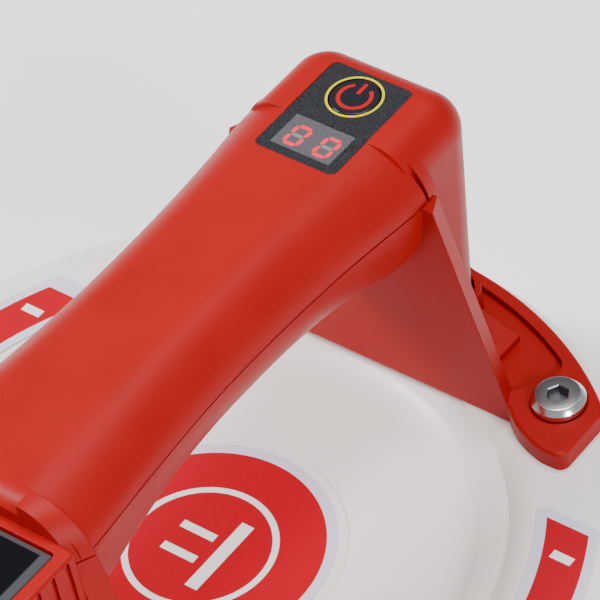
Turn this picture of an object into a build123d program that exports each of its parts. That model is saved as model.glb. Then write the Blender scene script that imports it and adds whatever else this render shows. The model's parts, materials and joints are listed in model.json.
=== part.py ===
from build123d import *
import os
from math import cos, hypot, pi, radians, sin, sqrt

os.makedirs("parts", exist_ok=True)

# Battery vacuum lifter, in millimetres.
# The origin is on the surface that the pad rests on, at the pad's centre.
# +Z is up, +X runs along the handle towards the control panel.

# ---------- driving dimensions: base plate ----------
plate_radius = 100.0
ring_top = 24.0            # flat top of the plate's outer ring
ring_flat_radius = 92.5    # where the ring's top starts to round off
recess_top_radius = 71.0
recess_floor_radius = 61.0
recess_floor = 16.8
skin = 3.5                 # wall of the plate
plate_bottom = 7.0
carrier_bottom = 8.0
carrier_top = 11.0
foam_inner_radius = 82.0
foam_outer_radius = 96.0
foot_screw_x = 67.9
foot_screw_y = 51.1
screw_places = [(x, y) for x in (foot_screw_x, -foot_screw_x)
                for y in (foot_screw_y, -foot_screw_y)]

# ---------- driving dimensions: handle ----------
wall = 2.5
foot_thickness = 4.9
foot_top = ring_top + foot_thickness
foot_radius = 93.8
foot_rim_radius = 90.5
handle_top = 94.1
seam_height = 82.8         # at the middle of the handle
seam_fall = 0.012          # the seam drops this much per millimetre towards the front
seam_groove_height = 0.35
seam_groove_depth = 0.8
leg_thickness = 5.0
front_leg_x = 61.0         # inner faces of the two leg plates
rear_leg_x = -54.0
leg_foot_width = 43.3      # half width of a leg plate's inner face at the foot
leg_slope = 0.268          # how fast a leg narrows with height
leg_edge_draft = 2.4       # the outer face is narrower by this much
lip_start_x = 64.0         # the ridge that the upper shell wraps over the front leg
lip_end_x = 67.5
lip_foot_width = 40.6      # its outline follows a leg this wide at the foot
lip_draft = 0.8
box_end_x = 87.3
box_top_width = 22.2       # half widths of the front box
box_foot_width = 18.2
box_corner_radius = 9.0
box_edge_radius = 8.4
block_end_x = -86.5
block_inner_x = -58.6
block_rim_height = 88.2
block_rim_width = 26.8
block_foot_width = 30.5
inset_start_x = -61.2
inset_width = 23.6
inset_end_x = -83.8

# ---------- driving dimensions: controls ----------
panel_start_x = 49.9
panel_end_x = 80.3
panel_width = 10.9
panel_recess = 0.6
power_x = 72.7
power_radius = 5.7
window_start_x = 52.3
window_end_x = 62.3
window_width = 8.0
release_x = -76.0
power_travel = 0.5

# ---------- driving dimensions: bought-in parts ----------
cell_radius = 7.05
cell_length = 50.0
cell_front_x = 12.0
cell_height = 79.5
screw_shank = 6.0
pump_x = 75.5
insert_radius = 4.2
insert_length = 8.5
carrier_screw_radius = 77.0
grip_screw_seat = 64.8
charge_height = 48.0
charge_y = 14.0
flute_pitch = 4.5
running_gap = 0.3
round_factor = 0.5523      # a curve with this handle length follows a quarter ellipse

# Grip stations: x, half width at the seam, height of the underside.
grip_stations = [
    (-57.0, 26.1, 45.5),
    (-38.0, 24.1, 54.5),
    (-20.0, 22.4, 60.3),
    (0.0, 21.3, 62.0),
    (20.0, 21.5, 62.0),
    (39.0, 22.6, 59.5),
    (52.0, 24.0, 55.3),
    (63.0, 24.9, 52.8),
]


def seam_at(x):
    """Height of the seam between the two handle shells."""
    return seam_height - seam_fall * x


def grip_section(x, half_width, underside, inset):
    """Closed grip outline at one station, as a sketch on a plane across the handle."""
    w = half_width - inset
    top = handle_top - inset
    bottom = underside + inset
    seam = seam_at(x)
    flat = 9.0
    rise = top - seam
    drop = seam - bottom
    with BuildSketch(Plane.YZ.offset(x)) as section:
        with BuildLine():
            Line((-flat, top), (flat, top))
            for side in (1, -1):
                Bezier(
                    (side * flat, top),
                    (side * (flat + (w - flat) * 0.45), top),
                    (side * w, seam + rise * 0.45),
                    (side * w, seam),
                )
                Bezier(
                    (side * w, seam),
                    (side * w, seam - round_factor * drop),
                    (side * round_factor * w, bottom),
                    (0, bottom),
                )
        make_face()
    return section.sketch


def add_grip(inset, mode=Mode.ADD):
    """Loft the grip through its stations into the part being built."""
    sections = [grip_section(x, half_width, underside, inset)
                for x, half_width, underside in grip_stations]
    loft(sections, mode=mode)


# ---------- construction bodies used by both shells ----------

with BuildPart() as grip_form:
    add_grip(0)

with BuildPart() as grip_cavity:
    add_grip(wall)

handle_reach = 120.0       # longer and wider than the whole handle

# Everything above the seam, as wide as the whole handle.
with BuildPart() as above_seam:
    with BuildSketch(Plane.XZ):
        with BuildLine():
            Polyline(
                (-handle_reach, seam_at(-handle_reach)),
                (handle_reach, seam_at(handle_reach)),
                (handle_reach, handle_reach),
                (-handle_reach, handle_reach),
                close=True,
            )
        make_face()
    extrude(amount=handle_reach / 2, both=True)

# A shallow groove runs along the seam, cut into the lower shell.
with BuildPart() as seam_groove:
    with BuildSketch(Plane.XZ):
        with BuildLine():
            Polyline(
                (-handle_reach, seam_at(-handle_reach)),
                (handle_reach, seam_at(handle_reach)),
                (handle_reach, seam_at(handle_reach) - seam_groove_height),
                (-handle_reach, seam_at(-handle_reach) - seam_groove_height),
                close=True,
            )
        make_face()
    extrude(amount=handle_reach / 2, both=True)
    add_grip(seam_groove_depth, mode=Mode.SUBTRACT)


# The front box: a hollow tower that narrows downwards and stands in the foot's collar.
box_inner_x = front_leg_x + 1.0


def add_front_box(inset):
    """The front box, or its cavity when inset is the wall."""
    top = handle_top - inset
    sections = []
    for height, half_width in ((foot_top, box_foot_width), (handle_top, box_top_width)):
        w = half_width - inset
        end = box_end_x - inset
        corner = box_corner_radius - inset
        level = top if height == handle_top else height - (1.0 if inset else 0.0)
        with BuildSketch(Plane.XY.offset(level)) as outline:
            with BuildLine():
                Line((box_inner_x, -w), (end - corner, -w))
                ThreePointArc(
                    (end - corner, -w),
                    (end - corner * (1 - sin(pi / 4)), -w + corner * (1 - sin(pi / 4))),
                    (end, -w + corner),
                )
                Line((end, -w + corner), (end, w - corner))
                ThreePointArc(
                    (end, w - corner),
                    (end - corner * (1 - sin(pi / 4)), w - corner * (1 - sin(pi / 4))),
                    (end - corner, w),
                )
                Line((end - corner, w), (box_inner_x, w))
                Line((box_inner_x, w), (box_inner_x, -w))
            make_face()
        sections.append(outline.sketch)
    loft(sections)


with BuildPart() as front_box_form:
    add_front_box(0)
    fillet(front_box_form.faces().sort_by(Axis.Z)[-1].edges().filter_by(
        lambda edge: edge.center().X > box_inner_x + 0.5), radius=box_edge_radius)

with BuildPart() as front_box_cavity:
    add_front_box(wall)
    fillet(front_box_cavity.faces().sort_by(Axis.Z)[-1].edges().filter_by(
        lambda edge: edge.center().X > box_inner_x + 0.5), radius=box_edge_radius - wall)

# The rear block: wider, flaring downwards, with a flat rim on top for the release button.


def add_rear_block(inset):
    """The rear block, or its cavity when inset is the wall."""
    sections = []
    for height, half_width in ((foot_top, block_foot_width), (block_rim_height, block_rim_width)):
        w = half_width - inset
        level = height - inset if height == block_rim_height else height - (1.0 if inset else 0.0)
        with BuildSketch(Plane.XY.offset(level)) as outline:
            with BuildLine():
                Polyline(
                    (block_inner_x + inset, -w),
                    (block_end_x + inset, -w),
                    (block_end_x + inset, w),
                    (block_inner_x + inset, w),
                    close=True,
                )
            make_face()
        sections.append(outline.sketch)
    loft(sections)


with BuildPart() as rear_block_form:
    add_rear_block(0)
    upright = rear_block_form.edges().filter_by(
        lambda edge: abs(edge.tangent_at(0.5).Z) > 0.9)
    fillet(upright.sort_by(Axis.X)[:2], radius=7.0)
    upright = rear_block_form.edges().filter_by(
        lambda edge: abs(edge.tangent_at(0.5).Z) > 0.9)
    fillet(upright.sort_by(Axis.X)[-2:], radius=1.6)
    fillet(rear_block_form.faces().sort_by(Axis.Z)[-1].edges(), radius=1.0)

with BuildPart() as rear_block_cavity:
    add_rear_block(wall)


def leg_outline(x, half_width_foot):
    """Leg plate outline across the handle: wide at the foot, rounded over the shoulder."""
    top = handle_top
    neck_z = 82.0
    neck = half_width_foot - leg_slope * (neck_z - ring_top)
    crown = 12.0               # half width of the flat on top
    with BuildSketch(Plane.YZ.offset(x)) as outline:
        with BuildLine():
            Line((-half_width_foot, ring_top), (half_width_foot, ring_top))
            for side in (1, -1):
                Line((side * half_width_foot, ring_top), (side * neck, neck_z))
                Bezier(
                    (side * neck, neck_z),
                    (side * (neck - 1.1), neck_z + 5.5),
                    (side * (neck - 5.8), top),
                    (side * crown, top),
                )
            Line((crown, top), (-crown, top))
        make_face()
    return outline.sketch


def add_leg_plate(inner_x, direction):
    """One leg plate with its drafted edge; direction is +1 at the front and -1 at the rear."""
    inner = leg_outline(inner_x, leg_foot_width)
    outer = leg_outline(inner_x + direction * leg_thickness, leg_foot_width - leg_edge_draft)
    loft([inner, outer], ruled=True)


with BuildPart() as leg_plates:
    add_leg_plate(front_leg_x, 1)
    add_leg_plate(rear_leg_x, -1)

with BuildPart() as leg_lips:
    lip_inner = leg_outline(lip_start_x, lip_foot_width)
    lip_outer = leg_outline(lip_end_x, lip_foot_width - lip_draft)
    loft([lip_inner, lip_outer], ruled=True)
    add_leg_plate(rear_leg_x, -1)


def foot_outline(inner_x):
    """Foot outline seen from above, for the +X end."""
    lobe_x = inner_x - 6.7
    arc_y = 59.5
    arc_x = sqrt(foot_radius**2 - arc_y**2)
    with BuildSketch(Plane.XY.offset(ring_top)) as outline:
        with BuildLine():
            Line((inner_x, -42.1), (inner_x, 42.1))
            ThreePointArc((arc_x, -arc_y), (foot_radius, 0), (arc_x, arc_y))
            for side in (1, -1):
                ThreePointArc(
                    (inner_x, side * 42.1),
                    (inner_x - 4.4, side * 48.3),
                    (lobe_x, side * 55.5),
                )
                Line((lobe_x, side * 55.5), (lobe_x + 0.1, side * 61.2))
                Line((lobe_x + 0.1, side * 61.2), (arc_x - 2.0, side * 61.2))
                Line((arc_x - 2.0, side * 61.2), (arc_x, side * arc_y))
        make_face()
        corners = outline.vertices().filter_by(
            lambda v: abs(abs(v.Y) - 61.2) < 0.01 and v.X < inner_x)
        fillet(corners, radius=2.4)
    return outline.sketch


pocket_depth = 1.75
pocket_angle = radians(31.5)


def add_foot(inner_x):
    """A foot for the +X end: a plate with a sunk pocket inside a raised outer rim."""
    extrude(foot_outline(inner_x), amount=foot_thickness)
    top_face = faces().sort_by(Axis.Z)[-1]
    fillet(top_face.edges(), radius=0.9)
    c = cos(pocket_angle)
    s = sin(pocket_angle)
    inner_r = 77.0
    with BuildSketch(Plane.XY.offset(foot_top)) as pocket:
        with BuildLine():
            RadiusArc((foot_rim_radius * c, -foot_rim_radius * s),
                      (foot_rim_radius * c, foot_rim_radius * s), -foot_rim_radius)
            for side in (1, -1):
                Line((foot_rim_radius * c, side * foot_rim_radius * s),
                     (inner_r * c, side * inner_r * s))
                Line((inner_r * c, side * inner_r * s), (inner_x + 1, side * 30.0))
            Line((inner_x + 1, 30.0), (inner_x + 1, -30.0))
        make_face()
        fillet(pocket.vertices().filter_by(lambda v: abs(v.Y) > 35), radius=4.0)
    extrude(pocket.sketch, amount=-pocket_depth, mode=Mode.SUBTRACT)


with BuildPart() as front_foot:
    add_foot(front_leg_x)

with BuildPart() as rear_foot_turned:
    add_foot(-rear_leg_x)

# Solid posts inside the boxes take the screws that hold the two shells together.
front_post = (82.2, 9.5)
rear_post = (-80.0, 17.0)
post_radius = 4.2
post_height = 8.5
grip_post_x = 29.0
grip_pad_top = grip_screw_seat + 2.4
grip_post_low = grip_pad_top + 0.2


# ---------- handle_lower_shell ----------
# Lower half of the grip, both legs and both feet, with a collar round each box.
with BuildPart() as handle_lower_shell:
    add(grip_form.part)
    add(grip_cavity.part, mode=Mode.SUBTRACT)
    add(leg_plates.part)
    # The leg plates are open inside the grip so that the cells and wires pass through.
    add(grip_cavity.part, mode=Mode.SUBTRACT)
    add(above_seam.part, mode=Mode.SUBTRACT)
    add(seam_groove.part, mode=Mode.SUBTRACT)
    add(front_foot.part)
    add(mirror(rear_foot_turned.part, about=Plane.YZ))
    # Collars, 2 mm proud of the boxes.
    collar_top = foot_top + 5.6
    with BuildSketch(Plane.XY.offset(foot_top - pocket_depth)) as front_collar:
        with Locations(((front_leg_x + box_end_x + 1.6) / 2, 0)):
            Rectangle(box_end_x + 1.6 - front_leg_x, 2 * box_foot_width + 3.2)
        fillet(front_collar.vertices().sort_by(Axis.X)[-2:], radius=8.5)
    extrude(amount=collar_top - foot_top + pocket_depth)
    with BuildSketch(Plane.XY.offset(foot_top - pocket_depth)) as rear_collar:
        with Locations(((block_inner_x + block_end_x - 1.6) / 2, 0)):
            Rectangle(block_inner_x - block_end_x + 1.6, 2 * block_foot_width + 3.2)
        fillet(rear_collar.vertices().sort_by(Axis.X)[:2], radius=8.0)
    extrude(amount=collar_top - foot_top + pocket_depth)
    # Ramp gussets beside the front box stiffen the leg.
    for side in (1, -1):
        with BuildSketch(Plane.YZ.offset(front_leg_x + 1)) as ramp:
            with BuildLine():
                Polyline(
                    (side * 17.0, foot_top - pocket_depth),
                    (side * 31.7, foot_top - pocket_depth),
                    (side * 31.7, foot_top),
                    (side * 20.0, foot_top + 4.2),
                    (side * 17.0, foot_top + 4.2),
                    close=True,
                )
            make_face()
        extrude(amount=18.5)
    # The boxes stand inside their collars.
    box_gap = 0.15
    with BuildSketch(Plane.XY.offset(foot_top)) as front_socket:
        with Locations(((front_leg_x + leg_thickness + box_end_x + box_gap) / 2, 0)):
            Rectangle(box_end_x + box_gap - front_leg_x - leg_thickness,
                      2 * (box_foot_width + 0.55))
        fillet(front_socket.vertices().sort_by(Axis.X)[-2:], radius=8.0)
    extrude(amount=20, mode=Mode.SUBTRACT)
    rear_socket_end = rear_leg_x - leg_thickness
    with BuildSketch(Plane.XY.offset(foot_top)) as rear_socket:
        with Locations(((rear_socket_end + block_end_x - box_gap) / 2, 0)):
            Rectangle(rear_socket_end - block_end_x + box_gap,
                      2 * (block_foot_width + box_gap))
        fillet(rear_socket.vertices().sort_by(Axis.X)[:2], radius=7.1)
    extrude(amount=20, mode=Mode.SUBTRACT)
    # Holes for the foot screws, with a seat for each head.
    with Locations(*[(x, y, foot_top) for x, y in screw_places]):
        CounterBoreHole(radius=3.25, counter_bore_radius=6.6, counter_bore_depth=0.4)
    # Port and valve pass through the feet.
    with Locations((pump_x, 0, foot_top), (release_x, 0, foot_top)):
        Hole(radius=6.1)
    # Shell screws come up through the feet and the grip's underside.
    with Locations(*[(x, side * y, ring_top) for x, y in (front_post, rear_post)
                     for side in (1, -1)]):
        Hole(radius=1.75)
        Cylinder(3.3, 2.2, align=(Align.CENTER, Align.CENTER, Align.MIN), mode=Mode.SUBTRACT)
    with Locations((grip_post_x, 0, 50)):
        Cylinder(1.75, 20, align=(Align.CENTER, Align.CENTER, Align.MIN), mode=Mode.SUBTRACT)
    # A seat for the grip screw, sunk into a thick pad inside the grip.
    with Locations((grip_post_x, 0, grip_pad_top)):
        Cylinder(4.6, 4.6, align=(Align.CENTER, Align.CENTER, Align.MAX))
        Cylinder(1.5, 9.0, align=(Align.CENTER, Align.CENTER, Align.MAX), mode=Mode.SUBTRACT)
    with Locations((grip_post_x, 0, grip_screw_seat)):
        Cylinder(2.9, 9.0, align=(Align.CENTER, Align.CENTER, Align.MAX), mode=Mode.SUBTRACT)
handle_lower_shell.part.label = "handle_lower_shell"
export_step(handle_lower_shell.part, "parts/handle_lower_shell.step")


# ---------- handle_upper_shell ----------
# Upper half of the grip, the lips over both legs, the front box and the rear block.
shoulder_radius = 5.9

with BuildPart() as handle_upper_shell:
    add(grip_form.part)
    add(leg_lips.part)
    add(above_seam.part, mode=Mode.INTERSECT)
    # The grip's top rolls down behind the rear leg to meet the block's rim.
    with BuildSketch(Plane.XZ) as roll:
        with BuildLine():
            Line((rear_leg_x, handle_top + 6), (rear_leg_x, handle_top + 0.01))
            JernArc((rear_leg_x, handle_top + 0.01), (-1, 0), shoulder_radius, 78)
            Line(JernArc((rear_leg_x, handle_top + 0.01), (-1, 0), shoulder_radius, 78,
                         mode=Mode.PRIVATE) @ 1, (-70, 70))
            Line((-70, 70), (-90, 70))
            Line((-90, 70), (-90, handle_top + 6))
            Line((-90, handle_top + 6), (rear_leg_x, handle_top + 6))
        make_face()
    extrude(amount=12.5, both=True, mode=Mode.SUBTRACT)
    add(front_box_form.part)
    add(rear_block_form.part)
    # Keep the shell clear of the legs that rise inside it, then hollow it out.
    add(grip_cavity.part, mode=Mode.SUBTRACT)
    add(front_box_cavity.part, mode=Mode.SUBTRACT)
    add(rear_block_cavity.part, mode=Mode.SUBTRACT)
    add(handle_lower_shell.part, mode=Mode.SUBTRACT)
    # Opening in the rim for the release button.
    with BuildSketch(Plane.XY.offset(block_rim_height)) as inset_opening:
        with Locations(((inset_start_x + inset_end_x) / 2, 0)):
            RectangleRounded(inset_start_x - inset_end_x, 2 * inset_width, 1.2)
    extrude(amount=-8, mode=Mode.SUBTRACT)
    # Shallow seat for the control panel, with its two openings.
    with BuildSketch(Plane.XY.offset(handle_top)) as panel_seat:
        with Locations(((panel_start_x + panel_end_x) / 2, 0)):
            RectangleRounded(panel_end_x - panel_start_x, 2 * panel_width, 1.8)
    extrude(amount=-panel_recess, mode=Mode.SUBTRACT)
    with BuildSketch(Plane.XY.offset(handle_top)) as panel_openings:
        with Locations((power_x, 0)):
            Circle(power_radius + running_gap)
        with Locations(((window_start_x + window_end_x) / 2, 0)):
            Rectangle(window_end_x - window_start_x, 2 * window_width)
    extrude(amount=-6, mode=Mode.SUBTRACT)
    # Grip flutes down both sides of the rear block.
    flute_low = collar_top + 3.0
    flute_high = block_rim_height - 0.6
    flute_middle = (flute_low + flute_high) / 2
    flare = (block_foot_width - block_rim_width) / (block_rim_height - foot_top)
    side_y = block_rim_width + flare * (block_rim_height - flute_middle)
    for side in (1, -1):
        flank = Plane((0, side * side_y, flute_middle), x_dir=(1, 0, 0), z_dir=(0, side, flare))
        with BuildSketch(flank) as flutes:
            for index in range(5):
                with Locations((block_inner_x - 3.2 - index * flute_pitch, 0)):
                    SlotOverall(flute_high - flute_low, 1.1, rotation=90)
        extrude(amount=-0.9, mode=Mode.SUBTRACT)
    # Posts for the shell screws.
    with Locations(*[(x, side * y, foot_top) for x, y in (front_post, rear_post)
                     for side in (1, -1)]):
        Cylinder(post_radius, post_height, align=(Align.CENTER, Align.CENTER, Align.MIN))
        Cylinder(1.45, post_height - 1, align=(Align.CENTER, Align.CENTER, Align.MIN),
                 mode=Mode.SUBTRACT)
    with Locations((grip_post_x, 0, grip_post_low)):
        Cylinder(3.2, handle_top - wall - grip_post_low,
                 align=(Align.CENTER, Align.CENTER, Align.MIN))
        Cylinder(1.2, 12, align=(Align.CENTER, Align.CENTER, Align.MIN), mode=Mode.SUBTRACT)
    # Socket for the charging plug in the rear wall.
    with Locations(Plane((block_end_x + 5, charge_y, charge_height), z_dir=(1, 0, 0))):
        Cylinder(4.2, 20, mode=Mode.SUBTRACT)
handle_upper_shell.part.label = "handle_upper_shell"
export_step(handle_upper_shell.part, "parts/handle_upper_shell.step")


# ---------- base_plate ----------
# Dished lifting plate: a flat outer ring, a sloping wall and a recessed floor, ribbed below.
with BuildPart() as base_plate:
    with BuildSketch(Plane.XZ) as plate_profile:
        with BuildLine():
            Line((0, recess_floor), (recess_floor_radius, recess_floor))
            Line((recess_floor_radius, recess_floor), (recess_top_radius, ring_top))
            Line((recess_top_radius, ring_top), (ring_flat_radius, ring_top))
            Bezier((ring_flat_radius, ring_top), (ring_flat_radius + 4.5, ring_top),
                   (plate_radius, ring_top - 1.6), (plate_radius, ring_top - 5.5))
            Line((plate_radius, ring_top - 5.5), (plate_radius, plate_bottom))
            Line((plate_radius, plate_bottom), (plate_radius - skin, plate_bottom))
            Polyline(
                (plate_radius - skin, plate_bottom),
                (plate_radius - skin, ring_top - skin - 1.5),
                (plate_radius - skin - 2.5, ring_top - skin),
                (recess_top_radius + 2, ring_top - skin),
                (recess_floor_radius + 2, recess_floor - skin),
                (0, recess_floor - skin),
                (0, recess_floor),
            )
        make_face()
        bends = plate_profile.vertices().filter_by(
            lambda v: hypot(v.X - recess_floor_radius, v.Y - recess_floor) < 0.1)
        fillet(bends, radius=6.0)
        bends = plate_profile.vertices().filter_by(
            lambda v: hypot(v.X - recess_top_radius, v.Y - ring_top) < 0.1)
        fillet(bends, radius=2.5)
    revolve(axis=Axis.Z)
    # Radial ribs in the ring and a hub of ribs under the floor.
    with BuildSketch(Plane.XY.offset(carrier_top)) as ring_ribs:
        with PolarLocations(0, 24, start_angle=7.5):
            with Locations(((recess_top_radius + plate_radius - skin + 1) / 2, 0)):
                Rectangle(plate_radius - recess_top_radius - skin, 2.0)
    extrude(amount=ring_top - skin - carrier_top + 0.5)
    with BuildSketch(Plane.XY.offset(carrier_top)) as floor_ribs:
        with PolarLocations(0, 12, start_angle=15):
            with Locations((38, 0)):
                Rectangle(52, 2.0)
        Circle(14)
        Circle(11.5, mode=Mode.SUBTRACT)
    extrude(amount=recess_floor - skin - carrier_top + 0.5)
    # Bosses for the threaded inserts and for the carrier's screws.
    with BuildSketch(Plane.XY.offset(carrier_top)) as bosses:
        with Locations(*screw_places):
            Circle(7.5)
        with PolarLocations(carrier_screw_radius, 8, start_angle=22.5):
            Circle(4.0)
    extrude(amount=ring_top - skin - carrier_top + 0.5)
    # Inserts are pressed in from below; the screws reach them from above.
    with Locations(*[(x, y, carrier_top) for x, y in screw_places]):
        Cylinder(insert_radius, insert_length,
                 align=(Align.CENTER, Align.CENTER, Align.MIN), mode=Mode.SUBTRACT)
        Cylinder(3.2, 20, align=(Align.CENTER, Align.CENTER, Align.MIN), mode=Mode.SUBTRACT)
    with PolarLocations(carrier_screw_radius, 8, start_angle=22.5):
        with Locations((0, 0, carrier_top)):
            Cylinder(1.5, 7, align=(Align.CENTER, Align.CENTER, Align.MIN), mode=Mode.SUBTRACT)
    # Passages for the suction port and the release valve.
    with Locations((pump_x, 0, ring_top), (release_x, 0, ring_top)):
        Cylinder(6.1, 12, mode=Mode.SUBTRACT)
base_plate.part.label = "base_plate"
export_step(base_plate.part, "parts/base_plate.step")

# ---------- seal_carrier ----------
# Flat ring that closes the plate from below and holds the foam seal.
with BuildPart() as seal_carrier:
    with BuildSketch(Plane.XY.offset(carrier_bottom)) as carrier_outline:
        Circle(plate_radius - skin - running_gap)
        Circle(58.0, mode=Mode.SUBTRACT)
    extrude(amount=carrier_top - carrier_bottom)
    with Locations((pump_x, 0, carrier_top), (release_x, 0, carrier_top)):
        Hole(radius=3.0)
    with Locations((pump_x, 0, carrier_bottom)):
        Cylinder(6.2, 1.2, align=(Align.CENTER, Align.CENTER, Align.MIN), mode=Mode.SUBTRACT)
    with PolarLocations(carrier_screw_radius, 8, start_angle=22.5):
        with Locations((0, 0, carrier_bottom)):
            Cone(3.1, 1.6, 1.5, align=(Align.CENTER, Align.CENTER, Align.MIN),
                 mode=Mode.SUBTRACT)
            Cylinder(1.6, 3, align=(Align.CENTER, Align.CENTER, Align.MIN), mode=Mode.SUBTRACT)
seal_carrier.part.label = "seal_carrier"
export_step(seal_carrier.part, "parts/seal_carrier.step")

# ---------- carrier_screws ----------
with BuildPart() as carrier_screws:
    with PolarLocations(carrier_screw_radius, 8, start_angle=22.5):
        with Locations((0, 0, carrier_bottom)):
            Cone(3.0, 1.5, 1.5, align=(Align.CENTER, Align.CENTER, Align.MIN))
            Cylinder(1.5, 9, align=(Align.CENTER, Align.CENTER, Align.MIN))
            Cylinder(0.9, 1.0, align=(Align.CENTER, Align.CENTER, Align.MIN), mode=Mode.SUBTRACT)
carrier_screws.part.label = "carrier_screws"
export_step(carrier_screws.part, "parts/carrier_screws.step")

# ---------- foam_seal ----------
with BuildPart() as foam_seal:
    with BuildSketch() as foam_outline:
        Circle(foam_outer_radius)
        Circle(foam_inner_radius, mode=Mode.SUBTRACT)
    extrude(amount=carrier_bottom)
    fillet(foam_seal.faces().sort_by(Axis.Z)[0].edges(), radius=1.2)
foam_seal.part.label = "foam_seal"
export_step(foam_seal.part, "parts/foam_seal.step")

# ---------- inlet_filter ----------
with BuildPart() as inlet_filter:
    with Locations((pump_x, 0, carrier_bottom)):
        Cylinder(6.0, 0.8, align=(Align.CENTER, Align.CENTER, Align.MIN))
inlet_filter.part.label = "inlet_filter"
export_step(inlet_filter.part, "parts/inlet_filter.step")

# ---------- threaded_inserts ----------
with BuildPart() as threaded_inserts:
    with Locations(*[(x, y, carrier_top) for x, y in screw_places]):
        Cylinder(insert_radius, insert_length, align=(Align.CENTER, Align.CENTER, Align.MIN))
        Cylinder(screw_shank / 2, insert_length, align=(Align.CENTER, Align.CENTER, Align.MIN),
                 mode=Mode.SUBTRACT)
threaded_inserts.part.label = "threaded_inserts"
export_step(threaded_inserts.part, "parts/threaded_inserts.step")

# ---------- foot_screws ----------
# M6 button-head screws: a wide bevelled head with a flat top and a hexagon socket.
head_seat = foot_top - 0.4
head_radius = 6.3
with BuildPart() as foot_screws:
    with Locations(*[(x, y, head_seat) for x, y in screw_places]):
        Cylinder(head_radius, 2.1, align=(Align.CENTER, Align.CENTER, Align.MIN))
        with Locations((0, 0, 2.1)):
            Cone(head_radius, head_radius - 1.2, 1.2,
                 align=(Align.CENTER, Align.CENTER, Align.MIN))
        Cylinder(screw_shank / 2, head_seat - carrier_top - 1.0,
                 align=(Align.CENTER, Align.CENTER, Align.MAX))
    with BuildSketch(Plane.XY.offset(head_seat + 3.3)) as sockets:
        with Locations(*screw_places):
            RegularPolygon(radius=2.31, side_count=6)
    extrude(amount=-2.4, mode=Mode.SUBTRACT)
foot_screws.part.label = "foot_screws"
export_step(foot_screws.part, "parts/foot_screws.step")

# ---------- shell_screws ----------
with BuildPart() as shell_screws:
    with Locations(*[(x, side * y, ring_top) for x, y in (front_post, rear_post)
                     for side in (1, -1)]):
        Cylinder(3.0, 2.0, align=(Align.CENTER, Align.CENTER, Align.MIN))
        Cylinder(1.45, foot_thickness + post_height - 2.5,
                 align=(Align.CENTER, Align.CENTER, Align.MIN))
        Cylinder(1.0, 1.2, align=(Align.CENTER, Align.CENTER, Align.MIN), mode=Mode.SUBTRACT)
    with Locations((grip_post_x, 0, grip_screw_seat)):
        Cylinder(2.6, 1.8, align=(Align.CENTER, Align.CENTER, Align.MAX))
        Cylinder(1.2, 14, align=(Align.CENTER, Align.CENTER, Align.MIN))
shell_screws.part.label = "shell_screws"
export_step(shell_screws.part, "parts/shell_screws.step")

# ---------- labels ----------
label_thickness = 0.25
with BuildPart() as centre_label:
    with BuildSketch(Plane.XY.offset(recess_floor)):
        Circle(33.0)
    extrude(amount=label_thickness)
centre_label.part.label = "centre_label"
export_step(centre_label.part, "parts/centre_label.step")

for label_name, side, shift in (("side_label_right", -1, 0), ("side_label_left", 1, 2)):
    with BuildPart() as side_label:
        with BuildSketch(Plane.XY.offset(ring_top)) as band:
            Circle(89.4)
            Circle(75.2, mode=Mode.SUBTRACT)
            with Locations((shift, side * 80)):
                Rectangle(88.2, 60, mode=Mode.INTERSECT)
            fillet(band.vertices(), radius=2.0)
        extrude(amount=label_thickness)
    side_label.part.label = label_name
    export_step(side_label.part, f"parts/{label_name}.step")


# ---------- control panel ----------
panel_bottom = handle_top - panel_recess
panel_centre = (panel_start_x + panel_end_x) / 2
window_centre = (window_start_x + window_end_x) / 2

with BuildPart() as panel_overlay:
    with BuildSketch(Plane.XY.offset(panel_bottom)) as overlay_outline:
        with Locations((panel_centre, 0)):
            RectangleRounded(panel_end_x - panel_start_x - 0.2, 2 * panel_width - 0.2, 1.7)
        with Locations((window_centre, 0)):
            Rectangle(window_end_x - window_start_x, 2 * window_width, mode=Mode.SUBTRACT)
        with Locations((power_x, 0)):
            Circle(power_radius + running_gap, mode=Mode.SUBTRACT)
    extrude(amount=0.45)
panel_overlay.part.label = "panel_overlay"
export_step(panel_overlay.part, "parts/panel_overlay.step")

with BuildPart() as display_window:
    with Locations((window_centre, 0, panel_bottom + 0.4)):
        Box(window_end_x - window_start_x - 0.1, 2 * window_width - 0.1, 1.0,
            align=(Align.CENTER, Align.CENTER, Align.MAX))
display_window.part.label = "display_window"
export_step(display_window.part, "parts/display_window.step")

board_top = 85.1
board_thickness = 1.6
with BuildPart() as control_board:
    with Locations((67.0, 0, board_top)):
        Box(34.0, 28.0, board_thickness, align=(Align.CENTER, Align.CENTER, Align.MAX))
    fillet(control_board.edges().filter_by(Axis.Z), radius=1.5)
control_board.part.label = "control_board"
export_step(control_board.part, "parts/control_board.step")

with BuildPart() as display_module:
    with Locations((window_centre, 0, board_top)):
        Box(window_end_x - window_start_x - 0.6, 2 * window_width - 0.6,
            panel_bottom - 0.6 - board_top, align=(Align.CENTER, Align.CENTER, Align.MIN))
display_module.part.label = "display_module"
export_step(display_module.part, "parts/display_module.step")

switch_height = 3.5
with BuildPart() as tact_switch:
    with Locations((power_x, 0, board_top)):
        Box(6.0, 6.0, switch_height, align=(Align.CENTER, Align.CENTER, Align.MIN))
        Cylinder(1.7, switch_height + 0.7, align=(Align.CENTER, Align.CENTER, Align.MIN))
tact_switch.part.label = "tact_switch"
export_step(tact_switch.part, "parts/tact_switch.step")

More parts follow.
